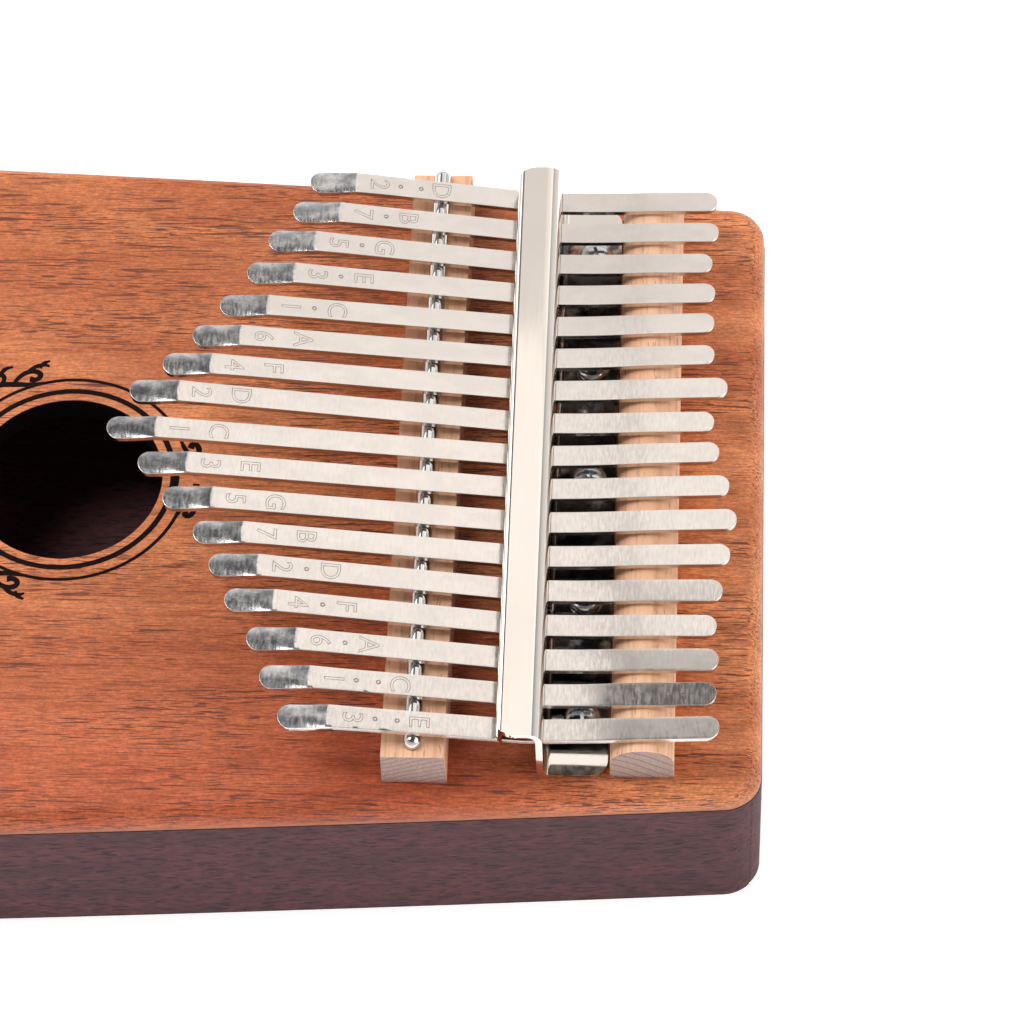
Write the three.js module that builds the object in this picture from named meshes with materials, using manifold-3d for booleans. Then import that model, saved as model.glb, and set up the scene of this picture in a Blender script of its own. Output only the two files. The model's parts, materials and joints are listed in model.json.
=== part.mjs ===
// A seventeen-key box thumb piano: a tapered hollow wooden case, two bridges, a stamped
// pressure bracket and seventeen flat spring-steel tines.
//
// Millimetres, +Z up. The origin is the bottom centre of the case. +X runs towards the
// tines' tails, -X towards the sound hole, and the player's view is from -Y.

import * as THREE from 'three';
import { mergeVertices } from 'three/addons/utils/BufferGeometryUtils.js';
import Module from 'manifold-3d';

// ---- Case ----
const CASE_LENGTH = 185;
const CASE_HALF_WIDTH = 71.3; // at the middle of its length
const CASE_TAPER = 5.1; // half width gained at the hole end and lost at the key end
const SIDE_BOW = 0.6; // how far each long side swells at its middle
const CORNER_RADIUS = 6.5;
const INNER_CORNER_RADIUS = 0.5; // the least radius of an inner outline's corner
const CORNER_STEPS = 6;
const CASE_HEIGHT = 35;
const TOP_THICKNESS = 5;
const TOP_ROUNDOVER = 3.2;
const ROUNDOVER_STEPS = 4;
const TOP_SETBACK = 0.2; // the soundboard's edge stands this far inside the side frame
const WALL = 8;
const BACK_THICKNESS = 4;
const BACK_GAP = 0.15;
const MITRE_GAP = 0.1;
const MITRE_SPARE = 5; // how far the wedges that part the frame reach past its corners
const MITRE_DEPTH = 30; // and how far inside them
const FRAME_HEIGHT = CASE_HEIGHT - TOP_THICKNESS;

const HOLE_X = -37.3;
const HOLE_RADIUS = 17.8;
const HOLE_STEPS = 40;

const CUT_SPARE = 1; // how far a cutter reaches past the face that it opens

// ---- Anchor block under the soundboard ----
const BLOCK = { from: 48, to: 72, halfLength: 57, depth: 11 };

// ---- Bridges and rod ----
const FRONT_BRIDGE = { from: 24.8, to: 36.4, height: 8.4, halfLength: 65.4, shift: 0.7 };
const REAR_BRIDGE = { from: 65.4, to: 76.8, shoulder: 4.9, height: 8.75, halfLength: 63 };
const CROWN_STEPS = 10; // along the rear bridge's half-round top
const GROOVE_STEPS = 5;
const ROD_X = 30.5;
const ROD_RADIUS = 1.65;
const ROD_AXIS_HEIGHT = 9; // above the soundboard
const ROD_HALF_LENGTH = 64.8;
const ROD_SHIFT = 1.5; // the rod sits a little towards the far side
const ROD_SIDES = 16;
const DOME_STEPS = 3;
const GROOVE_RADIUS = 1.72;

// ---- Tines ----
const TINE_PITCH = 7.4;
const TINE_WIDTH = 4.5;
const TIP_WIDTH = 5;
const TINE_THICKNESS = 1;
const TINE_SLOPE = 0.13; // fall from the tip to the bracket
const TAIL_SLOPE = 0.045; // rise from the bracket to the tail end
const TINE_LOW_X = 50; // where the slope changes, under the bracket's bar
const ROD_CLEARANCE = 0.15;
const FLAT_TIP = 9; // the last stretch of each tip lies level
const FLEX_GAP = 0.3; // between the playing key and its clamped tail
const END_STEPS = 4;
const END_START = 0.2; // share of the quarter turn at which a round end's outermost flat lies

// Tip and tail ends along X, and the tip's sideways wander, tine by tine from far to near.
const TINES = [
  { tip: 5.5, end: 83.3, wander: 0.9 },
  { tip: 2.7, end: 83.6, wander: 0.8 },
  { tip: -1.5, end: 82.5, wander: 0.8 },
  { tip: -5, end: 83.1, wander: 0.2 },
  { tip: -9.5, end: 83, wander: -0.6 },
  { tip: -14, end: 83.1, wander: -0.7 },
  { tip: -19, end: 85.6, wander: -0.3 },
  { tip: -24.5, end: 83.2, wander: 0.4 },
  { tip: -28, end: 84.2, wander: -0.9 },
  { tip: -21.8, end: 86.1, wander: -0.7 },
  { tip: -16.8, end: 87.5, wander: -0.5 },
  { tip: -10.8, end: 86.4, wander: 0 },
  { tip: -7.5, end: 85.1, wander: 0.7 },
  { tip: -4.2, end: 84.1, wander: 0.9 },
  { tip: 0.2, end: 84.5, wander: 0.5 },
  { tip: 3, end: 84.2, wander: 0.1 },
  { tip: 6.7, end: 84.8, wander: -0.4 },
];

// ---- Pressure bracket ----
const SHEET = 1.2;
const BRACKET_HALF_LENGTH = 63.5;
const BAR_TOP = 14.6; // above the soundboard
const LIP_X = 45.9;
const LIP_BOTTOM = 10;
const WEB_X = 53;
const FLANGE_END = 65;
const LIP_BEND = { drop: 0.8, run: 2 };
const WEB_BEND = { drop: 1.2, run: 2.2, ease: 1 };
const FOOT_BEND = 2;
const BEND_STEPS = 5;
const SLOT = { width: 5.4, bottom: 7.85, top: 10.1, clear: 0.2 };

// ---- Bracket screws ----
const SCREW_X = 60.2;
const SCREW_PITCH = 25.9;
const SCREW_COUNT = 5;
const SCREW = {
  headRadius: 3.3,
  headHeight: 2.1,
  shankRadius: 1.5,
  reach: 13,
  taper: 2.5,
  tipShare: 0.4,
  gap: 0.15,
  sides: 16,
};

// ---- Materials ----
const MAHOGANY = { color: 0xb3583a, roughness: 0.5, metalness: 0 };
const WALNUT = { color: 0x5f4145, roughness: 0.6, metalness: 0 };
const MAPLE = { color: 0xd9ac82, roughness: 0.6, metalness: 0 };
const SPRUCE = { color: 0xcaa877, roughness: 0.7, metalness: 0 };
const CHROME = { color: 0xe6e3df, roughness: 0.12, metalness: 1 };
const NICKEL = { color: 0xe4ddd2, roughness: 0.28, metalness: 1 };
const ZINC = { color: 0xc9c9cc, roughness: 0.25, metalness: 1 };

const wasm = await Module();
wasm.setup();

const instrument = new THREE.Group();

function add(name, geometry, look, { x = 0, y = 0, turn = 0 } = {}) {
  const mesh = new THREE.Mesh(geometry, new THREE.MeshStandardMaterial(look));
  mesh.name = name;
  mesh.position.set(x, y, 0);
  mesh.rotation.z = turn;
  instrument.add(mesh);
}

// ---- Solid helpers ----

function toSolid(geometry) {
  const bare = geometry.clone();
  bare.deleteAttribute('normal');
  bare.deleteAttribute('uv');
  const merged = mergeVertices(bare, 1e-4);
  return new wasm.Manifold(new wasm.Mesh({
    numProp: 3,
    vertProperties: new Float32Array(merged.attributes.position.array),
    triVerts: new Uint32Array(merged.index.array),
  }));
}

function toGeometry(solid) {
  const { vertProperties, triVerts } = solid.getMesh();
  const geometry = new THREE.BufferGeometry();
  geometry.setAttribute('position', new THREE.BufferAttribute(vertProperties, 3));
  geometry.setIndex(new THREE.BufferAttribute(triVerts, 1));
  return geometry;
}

function cutAll(geometry, cutters) {
  let solid = toSolid(geometry);
  for (const cutter of cutters) solid = solid.subtract(toSolid(cutter));
  return toGeometry(solid);
}

function prism(points, bottom, top) {
  const geometry = new THREE.ExtrudeGeometry(new THREE.Shape(points), {
    depth: top - bottom,
    bevelEnabled: false,
  });
  return geometry.translate(0, 0, bottom);
}

// Extrudes an XZ profile along Y, centred on Y = 0; heights are above the soundboard.
function bar(profile, halfLength) {
  const geometry = new THREE.ExtrudeGeometry(new THREE.Shape(profile), {
    depth: 2 * halfLength,
    bevelEnabled: false,
  });
  return geometry.rotateX(Math.PI / 2).translate(0, halfLength, CASE_HEIGHT);
}

function block(from, to) {
  const size = to.map((value, axis) => value - from[axis]);
  const centre = to.map((value, axis) => (value + from[axis]) / 2);
  return new THREE.BoxGeometry(...size).translate(...centre);
}

function peg(radius, bottom, top, x, y, sides) {
  const geometry = new THREE.CylinderGeometry(radius, radius, top - bottom, sides);
  return geometry.rotateX(Math.PI / 2).translate(x, y, (top + bottom) / 2);
}

// Joins rings of equal length, lowest first, into one closed body.
function loft(rings) {
  const count = rings[0].points.length;
  const positions = rings.flatMap(({ z, points }) => points.flatMap((p) => [p.x, p.y, z]));
  const index = [];
  for (let ring = 0; ring < rings.length - 1; ring += 1) {
    for (let i = 0; i < count; i += 1) {
      const a = ring * count + i;
      const b = ring * count + ((i + 1) % count);
      index.push(a, b, b + count, a, b + count, a + count);
    }
  }
  const lid = (rings.length - 1) * count;
  for (const [a, b, c] of THREE.ShapeUtils.triangulateShape(rings[0].points, [])) index.push(a, c, b);
  for (const [a, b, c] of THREE.ShapeUtils.triangulateShape(rings.at(-1).points, [])) {
    index.push(lid + a, lid + b, lid + c);
  }
  const geometry = new THREE.BufferGeometry();
  geometry.setAttribute('position', new THREE.Float32BufferAttribute(positions, 3));
  geometry.setIndex(index);
  return geometry;
}

// ---- Case ----

// The case's plan outline, counter-clockwise, moved inwards by inset.
function caseOutline(inset) {
  const slope = CASE_TAPER / (CASE_LENGTH / 2);
  const lean = Math.atan(slope);
  const radius = Math.max(CORNER_RADIUS - inset, INNER_CORNER_RADIUS);
  const lift = (inset + radius) * Math.hypot(1, slope);
  const x = CASE_LENGTH / 2 - inset - radius;
  const yKeys = CASE_HALF_WIDTH - slope * x - lift;
  const yHole = CASE_HALF_WIDTH + slope * x - lift;
  const side = Math.PI / 2 - lean;
  const corners = [
    { x, y: yKeys, from: 0, to: side },
    { x: -x, y: yHole, from: side, to: Math.PI },
    { x: -x, y: -yHole, from: Math.PI, to: 2 * Math.PI - side },
    { x, y: -yKeys, from: 2 * Math.PI - side, to: 2 * Math.PI },
  ];
  const points = [];
  corners.forEach((corner, index) => {
    for (let step = 0; step <= CORNER_STEPS; step += 1) {
      const angle = THREE.MathUtils.lerp(corner.from, corner.to, step / CORNER_STEPS);
      const arc = new THREE.Vector2(Math.cos(angle), Math.sin(angle)).multiplyScalar(radius);
      points.push(arc.add(new THREE.Vector2(corner.x, corner.y)));
    }
    if (index % 2 === 0) {
      const start = points.at(-1);
      const next = corners[index + 1];
      const end = new THREE.Vector2(Math.cos(corner.to), Math.sin(corner.to)).multiplyScalar(radius);
      end.add(new THREE.Vector2(next.x, next.y));
      for (const share of [0.25, 0.5, 0.75]) {
        const between = start.clone().lerp(end, share);
        between.y += Math.sign(between.y) * SIDE_BOW * 4 * share * (1 - share);
        points.push(between);
      }
    }
  });
  return points;
}

function screwPlaces() {
  const middle = (SCREW_COUNT - 1) / 2;
  return Array.from({ length: SCREW_COUNT }, (_, i) => (middle - i) * SCREW_PITCH);
}

function screwBores(bottom, top) {
  const { shankRadius, gap, sides } = SCREW;
  return screwPlaces().map((y) => peg(shankRadius + gap, bottom, top, SCREW_X, y, sides));
}

function topBoard() {
  const rings = [{ z: FRAME_HEIGHT, points: caseOutline(TOP_SETBACK) }];
  for (let step = 0; step <= ROUNDOVER_STEPS; step += 1) {
    const angle = (step / ROUNDOVER_STEPS) * (Math.PI / 2);
    const inset = TOP_SETBACK + TOP_ROUNDOVER * (1 - Math.cos(angle));
    const z = CASE_HEIGHT - TOP_ROUNDOVER * (1 - Math.sin(angle));
    rings.push({ z, points: caseOutline(inset) });
  }
  const bottom = FRAME_HEIGHT - CUT_SPARE;
  const top = CASE_HEIGHT + CUT_SPARE;
  const hole = peg(HOLE_RADIUS, bottom, top, HOLE_X, 0, HOLE_STEPS);
  return cutAll(loft(rings), [hole, ...screwBores(bottom, top)]);
}

// The side frame is one ring cut into four boards along the corners' mitres.
function frameBoards() {
  const ring = toSolid(prism(caseOutline(0), 0, FRAME_HEIGHT))
    .subtract(toSolid(prism(caseOutline(WALL), -CUT_SPARE, FRAME_HEIGHT + CUT_SPARE)));
  const half = CASE_LENGTH / 2;
  const corner = (side, along) => {
    const width = CASE_HALF_WIDTH - side * CASE_TAPER;
    return [side * (half + along), width + along];
  };
  const endWedge = (side) => {
    const [xOut, yOut] = corner(side, MITRE_SPARE);
    const [xIn, yIn] = corner(side, -MITRE_DEPTH);
    const upper = [[xOut, yOut - MITRE_GAP], [xIn, yIn - MITRE_GAP]];
    const lower = upper.map(([x, y]) => [x, -y]).reverse();
    return [...upper, ...lower];
  };
  const sideWedge = (way) => [[-1, MITRE_SPARE], [-1, -MITRE_DEPTH], [1, -MITRE_DEPTH], [1, MITRE_SPARE]]
    .map(([side, along]) => corner(side, along))
    .map(([x, y]) => [x, way * (y + MITRE_GAP)]);
  const board = (outline) => {
    const points = outline.map(([x, y]) => new THREE.Vector2(x, y));
    if (THREE.ShapeUtils.area(points) < 0) points.reverse();
    return toGeometry(ring.intersect(toSolid(prism(points, -CUT_SPARE, FRAME_HEIGHT + CUT_SPARE))));
  };
  add('end_board_keys', board(endWedge(1)), WALNUT);
  add('end_board_hole', board(endWedge(-1)), WALNUT);
  add('side_board_near', board(sideWedge(-1)), WALNUT);
  add('side_board_far', board(sideWedge(1)), WALNUT);
}

function buildCase() {
  add('top_board', topBoard(), MAHOGANY);
  frameBoards();
  add('back_board', prism(caseOutline(WALL + BACK_GAP), 0, BACK_THICKNESS), WALNUT);
  const blockBottom = FRAME_HEIGHT - BLOCK.depth;
  const { from, to, halfLength } = BLOCK;
  const anchor = block([from, -halfLength, blockBottom], [to, halfLength, FRAME_HEIGHT]);
  const bores = screwBores(blockBottom - CUT_SPARE, FRAME_HEIGHT + CUT_SPARE);
  add('anchor_block', cutAll(anchor, bores), SPRUCE);
}

// ---- Bridges and rod ----

function frontBridge() {
  const { from, to, height, halfLength } = FRONT_BRIDGE;
  const half = Math.acos((ROD_AXIS_HEIGHT - height) / GROOVE_RADIUS);
  const shape = new THREE.Path();
  shape.moveTo(from, 0);
  shape.lineTo(to, 0);
  shape.lineTo(to, height);
  shape.absarc(ROD_X, ROD_AXIS_HEIGHT, GROOVE_RADIUS, half - Math.PI / 2, -half - Math.PI / 2, true);
  shape.lineTo(from, height);
  return bar(shape.getPoints(GROOVE_STEPS), halfLength);
}

function rearBridge() {
  const { from, to, shoulder, height, halfLength } = REAR_BRIDGE;
  const middle = (from + to) / 2;
  const profile = [new THREE.Vector2(from, 0), new THREE.Vector2(to, 0)];
  for (let step = 0; step <= CROWN_STEPS; step += 1) {
    const angle = (Math.PI * step) / CROWN_STEPS;
    const x = middle + ((to - from) / 2) * Math.cos(angle);
    profile.push(new THREE.Vector2(x, shoulder + (height - shoulder) * Math.sin(angle)));
  }
  return bar(profile, halfLength);
}

function bridgeRod() {
  const profile = [];
  for (const end of [-1, 1]) {
    for (let step = 0; step <= DOME_STEPS; step += 1) {
      const share = end < 0 ? step : DOME_STEPS - step;
      const angle = (share / DOME_STEPS) * (Math.PI / 2);
      const along = end * (ROD_HALF_LENGTH - ROD_RADIUS + ROD_RADIUS * Math.cos(angle));
      profile.push(new THREE.Vector2(ROD_RADIUS * Math.sin(angle), along));
    }
  }
  const lathe = new THREE.LatheGeometry(profile, ROD_SIDES);
  return lathe.translate(ROD_X, 0, CASE_HEIGHT + ROD_AXIS_HEIGHT);
}

function buildBridges() {
  add('front_bridge', frontBridge(), MAPLE, { y: FRONT_BRIDGE.shift });
  add('rear_bridge', rearBridge(), MAPLE);
  add('bridge_rod', bridgeRod(), CHROME, { y: ROD_SHIFT });
}

// ---- Pressure bracket and its screws ----

// A strip of sheet of constant thickness along a path, as one closed profile.
function sheetProfile(path, thickness) {
  const left = [];
  const right = [];
  path.forEach((point, i) => {
    const before = path[Math.max(i - 1, 0)];
    const after = path[Math.min(i + 1, path.length - 1)];
    const along = after.clone().sub(before).normalize();
    const across = new THREE.Vector2(-along.y, along.x).multiplyScalar(thickness / 2);
    left.push(point.clone().add(across));
    right.push(point.clone().sub(across));
  });
  return [...right, ...left.reverse()];
}

function bracket() {
  const middle = BAR_TOP - SHEET / 2;
  const foot = SHEET / 2;
  const path = new THREE.Path();
  path.moveTo(LIP_X, LIP_BOTTOM);
  path.bezierCurveTo(
    LIP_X, middle - LIP_BEND.drop, LIP_X + LIP_BEND.drop, middle, LIP_X + LIP_BEND.run, middle,
  );
  path.lineTo(WEB_X - WEB_BEND.run, middle);
  path.bezierCurveTo(
    WEB_X - WEB_BEND.ease, middle, WEB_X, middle - WEB_BEND.drop, WEB_X, SLOT.top + SLOT.clear,
  );
  path.lineTo(WEB_X, foot + FOOT_BEND);
  path.quadraticCurveTo(WEB_X, foot, WEB_X + FOOT_BEND, foot);
  path.lineTo(FLANGE_END, foot);
  const sheet = bar(sheetProfile(path.getPoints(BEND_STEPS), SHEET), BRACKET_HALF_LENGTH);
  const slots = TINES.map((_, i) => block(
    [WEB_X - SHEET, tineY(i) - SLOT.width / 2, CASE_HEIGHT + SLOT.bottom],
    [WEB_X + SHEET, tineY(i) + SLOT.width / 2, CASE_HEIGHT + SLOT.top],
  ));
  return cutAll(sheet, [...slots, ...screwBores(CASE_HEIGHT - CUT_SPARE, CASE_HEIGHT + SHEET + CUT_SPARE)]);
}

// A pan-head screw standing on the flange, turned about its own axis.
function screw() {
  const { headRadius, headHeight, shankRadius, reach, taper, tipShare, sides } = SCREW;
  const seat = CASE_HEIGHT + SHEET;
  const profile = [
    [0, seat - reach],
    [shankRadius * tipShare, seat - reach],
    [shankRadius, seat - reach + taper],
    [shankRadius, seat],
    [headRadius, seat],
    [headRadius, seat + headHeight * 0.45],
    [headRadius * 0.6, seat + headHeight * 0.9],
    [0, seat + headHeight],
  ].map(([radius, height]) => new THREE.Vector2(radius, height));
  return new THREE.LatheGeometry(profile, sides).rotateX(Math.PI / 2);
}

function buildBracket() {
  add('bracket', bracket(), CHROME);
  screwPlaces().forEach((y, i) => add(`bracket_screw_${i + 1}`, screw(), ZINC, { x: SCREW_X, y }));
}

// ---- Tines ----

function tineY(index) {
  return ((TINES.length - 1) / 2 - index) * TINE_PITCH;
}

// Height of a tine's underside at x, for a tine whose tip lies at tip.
function tineHeight(x, tip) {
  const stretch = Math.hypot(1, TINE_SLOPE);
  const overRod = CASE_HEIGHT + ROD_AXIS_HEIGHT + (ROD_RADIUS + ROD_CLEARANCE) * stretch;
  if (x > TINE_LOW_X) {
    return overRod - TINE_SLOPE * (TINE_LOW_X - ROD_X) + TAIL_SLOPE * (x - TINE_LOW_X);
  }
  return overRod + TINE_SLOPE * (ROD_X - Math.max(x, tip + FLAT_TIP));
}

// A flat strip through stations of { x, width }, following a tine's height.
function strip(stations, tip) {
  const positions = [];
  const index = [];
  for (const { x, width } of stations) {
    const low = tineHeight(x, tip);
    const high = low + TINE_THICKNESS;
    positions.push(x, -width / 2, low, x, width / 2, low, x, width / 2, high, x, -width / 2, high);
  }
  for (let i = 0; i < stations.length - 1; i += 1) {
    for (let k = 0; k < 4; k += 1) {
      const a = 4 * i + k;
      const b = 4 * i + ((k + 1) % 4);
      index.push(a, b, b + 4, a, b + 4, a + 4);
    }
  }
  const last = 4 * (stations.length - 1);
  index.push(0, 2, 1, 0, 3, 2);
  index.push(last, last + 1, last + 2, last, last + 2, last + 3);
  const geometry = new THREE.BufferGeometry();
  geometry.setAttribute('position', new THREE.Float32BufferAttribute(positions, 3));
  geometry.setIndex(index);
  return geometry;
}

// Stations round a tine's end, from its outermost flat inwards; way is +1 at a tip.
function roundEnd(end, width, way) {
  const radius = width / 2;
  return Array.from({ length: END_STEPS }, (_, i) => {
    const angle = (Math.PI / 2) * THREE.MathUtils.lerp(END_START, 1, i / (END_STEPS - 1));
    return { x: end + way * radius * (1 - Math.cos(angle)), width: width * Math.sin(angle) };
  });
}

function tineKey({ tip }) {
  const stations = [
    ...roundEnd(tip, TIP_WIDTH, 1),
    { x: tip + FLAT_TIP, width: TINE_WIDTH },
    { x: ROD_X - FLEX_GAP / 2, width: TINE_WIDTH },
  ];
  return strip(stations, tip);
}

function tineTail({ tip, end }) {
  const stations = [
    { x: ROD_X + FLEX_GAP / 2, width: TINE_WIDTH },
    { x: TINE_LOW_X, width: TINE_WIDTH },
    ...roundEnd(end, TINE_WIDTH, -1).reverse(),
  ];
  return strip(stations, tip);
}

function buildTines() {
  TINES.forEach((tine, i) => {
    const number = String(i + 1).padStart(2, '0');
    const turn = -Math.atan(tine.wander / (TINE_LOW_X - tine.tip));
    const place = { x: TINE_LOW_X, y: tineY(i), turn };
    const aboutBar = (geometry) => geometry.translate(-TINE_LOW_X, 0, 0);
    add(`tine_${number}_key`, aboutBar(tineKey(tine)), NICKEL, place);
    add(`tine_${number}_tail`, aboutBar(tineTail(tine)), NICKEL, place);
  });
}

buildCase();
buildBridges();
buildBracket();
buildTines();

export default instrument;
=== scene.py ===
"""Looks of a seventeen-key box thumb piano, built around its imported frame."""

import json
import logging
import math
from collections.abc import Iterable
from dataclasses import dataclass, field
from enum import Enum

import bmesh
import bpy
from mathutils import Matrix, Vector

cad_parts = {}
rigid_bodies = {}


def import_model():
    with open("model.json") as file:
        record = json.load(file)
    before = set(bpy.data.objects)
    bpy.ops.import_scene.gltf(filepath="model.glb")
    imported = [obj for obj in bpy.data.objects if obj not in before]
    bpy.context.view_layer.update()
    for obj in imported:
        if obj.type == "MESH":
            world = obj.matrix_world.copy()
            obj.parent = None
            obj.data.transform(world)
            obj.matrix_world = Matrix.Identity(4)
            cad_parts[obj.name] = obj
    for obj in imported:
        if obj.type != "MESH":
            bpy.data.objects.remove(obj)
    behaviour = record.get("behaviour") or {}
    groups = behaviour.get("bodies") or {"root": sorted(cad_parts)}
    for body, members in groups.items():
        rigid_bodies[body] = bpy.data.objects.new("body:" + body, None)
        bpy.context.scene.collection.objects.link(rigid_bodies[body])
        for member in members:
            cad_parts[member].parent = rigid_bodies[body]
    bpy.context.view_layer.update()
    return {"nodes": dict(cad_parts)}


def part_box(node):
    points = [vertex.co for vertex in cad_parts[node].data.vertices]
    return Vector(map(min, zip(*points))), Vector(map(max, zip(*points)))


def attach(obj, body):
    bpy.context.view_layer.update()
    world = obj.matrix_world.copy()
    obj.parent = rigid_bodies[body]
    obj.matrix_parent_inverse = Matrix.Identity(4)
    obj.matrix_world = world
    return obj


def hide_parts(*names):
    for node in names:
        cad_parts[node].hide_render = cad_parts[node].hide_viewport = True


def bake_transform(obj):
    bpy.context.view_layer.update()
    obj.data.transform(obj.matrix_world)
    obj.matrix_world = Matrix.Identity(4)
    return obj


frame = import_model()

log = logging.getLogger("thumb_piano")

MM = 0.001
CASE_BODY = "case"
Colour = tuple[float, float, float]


# ---------------------------------------------------------------- node helpers


class Grain(Enum):
    """The way a board's fibres run."""

    ALONG = "x"
    ACROSS = "y"


@dataclass
class Shader:
    """A material's node tree, with short calls for the nodes that its finish needs."""

    name: str
    material: bpy.types.Material = field(init=False)

    def __post_init__(self) -> None:
        """Makes the material with one Principled shader."""
        self.material = bpy.data.materials.new(self.name)
        self.material.use_nodes = True
        self.tree = self.material.node_tree
        self.surface = self.tree.nodes["Principled BSDF"]
        self.coords = self.tree.nodes.new("ShaderNodeTexCoord").outputs["Object"]

    def node(self, kind: str, **settings: object) -> bpy.types.Node:
        """Adds a node of a kind and sets its properties."""
        made = self.tree.nodes.new("ShaderNode" + kind)
        for key, value in settings.items():
            setattr(made, key, value)
        return made

    def feed(self, socket: bpy.types.NodeSocket, value: object) -> None:
        """Links a socket to an output, or sets its value."""
        if isinstance(value, bpy.types.NodeSocket):
            self.tree.links.new(value, socket)
        elif isinstance(value, tuple) and len(value) == 3 and socket.type == "RGBA":
            socket.default_value = (*value, 1.0)
        else:
            socket.default_value = value

    def set(self, **values: object) -> None:
        """Sets or links the shader's own sockets, with underscores for spaces."""
        for key, value in values.items():
            self.feed(self.surface.inputs[key.replace("_", " ")], value)

    def stretched(self, scale: Colour, shift: Colour = (0.0, 0.0, 0.0)) -> bpy.types.NodeSocket:
        """Object coordinates times a scale, in cycles per metre, plus a shift."""
        mapping = self.node("Mapping")
        self.feed(mapping.inputs["Vector"], self.coords)
        self.feed(mapping.inputs["Scale"], scale)
        self.feed(mapping.inputs["Location"], shift)
        return mapping.outputs["Vector"]

    def noise(
        self,
        scale: Colour,
        detail: float = 3.0,
        roughness: float = 0.55,
        shift: Colour = (0.0, 0.0, 0.0),
        distortion: float = 0.0,
    ) -> bpy.types.NodeSocket:
        """Noise drawn out along the axes.

        Args:
            scale: Cycles per metre along X, Y and Z.
            detail: Octaves.
            roughness: Strength of the finer octaves.
            shift: Offset that sets one noise apart from another.
            distortion: How far the noise is warped.

        Returns:
            The noise's value.
        """
        made = self.node("TexNoise")
        self.feed(made.inputs["Vector"], self.stretched(scale, shift))
        self.feed(made.inputs["Scale"], 1.0)
        self.feed(made.inputs["Detail"], detail)
        self.feed(made.inputs["Roughness"], roughness)
        self.feed(made.inputs["Distortion"], distortion)
        return made.outputs["Fac"]

    def band(
        self, value: bpy.types.NodeSocket, low: float, high: float, to: tuple[float, float] = (0.0, 1.0)
    ) -> bpy.types.NodeSocket:
        """Value mapped smoothly from low..high onto to."""
        made = self.node("MapRange", interpolation_type="SMOOTHSTEP")
        for key, number in (("Value", value), ("From Min", low), ("From Max", high)):
            self.feed(made.inputs[key], number)
        self.feed(made.inputs["To Min"], to[0])
        self.feed(made.inputs["To Max"], to[1])
        return made.outputs["Result"]

    def mix(self, amount: object, first: object, second: object, blend: str = "MIX") -> bpy.types.NodeSocket:
        """Two colours mixed by an amount."""
        made = self.node("Mix", data_type="RGBA", blend_type=blend)
        self.feed(made.inputs[0], amount)
        self.feed(made.inputs[6], first)
        self.feed(made.inputs[7], second)
        return made.outputs[2]

    def math(self, operation: str, first: object, second: object = 0.0) -> bpy.types.NodeSocket:
        """One arithmetic step."""
        made = self.node("Math", operation=operation)
        self.feed(made.inputs[0], first)
        self.feed(made.inputs[1], second)
        return made.outputs[0]

    def axis(self, vector: bpy.types.NodeSocket, name: str) -> bpy.types.NodeSocket:
        """One component of a vector."""
        made = self.node("SeparateXYZ")
        self.feed(made.inputs[0], vector)
        return made.outputs[name]

    def painted(self, name: str) -> bpy.types.NodeSocket:
        """A number painted on the mesh's own vertices."""
        return self.node("Attribute", attribute_name=name).outputs["Fac"]

    def grey(self, value: bpy.types.NodeSocket) -> bpy.types.NodeSocket:
        """A value as a grey colour."""
        made = self.node("CombineColor")
        for socket in made.inputs[:3]:
            self.feed(socket, value)
        return made.outputs[0]

    def distance(self, shift: Colour, keep: Colour) -> bpy.types.NodeSocket:
        """Distance from the shifted origin, counting only the axes where keep is 1."""
        flat = self.node("VectorMath", operation="MULTIPLY")
        self.feed(flat.inputs[0], self.stretched((1, 1, 1), shift))
        self.feed(flat.inputs[1], keep)
        length = self.node("VectorMath", operation="LENGTH")
        self.feed(length.inputs[0], flat.outputs[0])
        return length.outputs["Value"]

    def normal_axis(self, name: str) -> bpy.types.NodeSocket:
        """One component of the surface's own normal."""
        return self.axis(self.node("NewGeometry").outputs["Normal"], name)

    def bump(self, height: object, distance: float, strength: float = 1.0) -> None:
        """Raises the surface by height times distance, in metres."""
        made = self.node("Bump")
        self.feed(made.inputs["Height"], height)
        self.feed(made.inputs["Distance"], distance)
        self.feed(made.inputs["Strength"], strength)
        self.set(Normal=made.outputs["Normal"])


# ---------------------------------------------------------------- finishes


@dataclass(frozen=True)
class Finish:
    """A surface finish, from which a material is made."""

    def build(self, name: str) -> bpy.types.Material:
        """Makes the material.

        Args:
            name: The material's name.

        Returns:
            The material.
        """
        shader = Shader(name)
        self.paint(shader)
        return shader.material

    def paint(self, s: Shader) -> None:
        """Sets up the shader; every finish has its own way."""
        raise NotImplementedError


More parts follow.
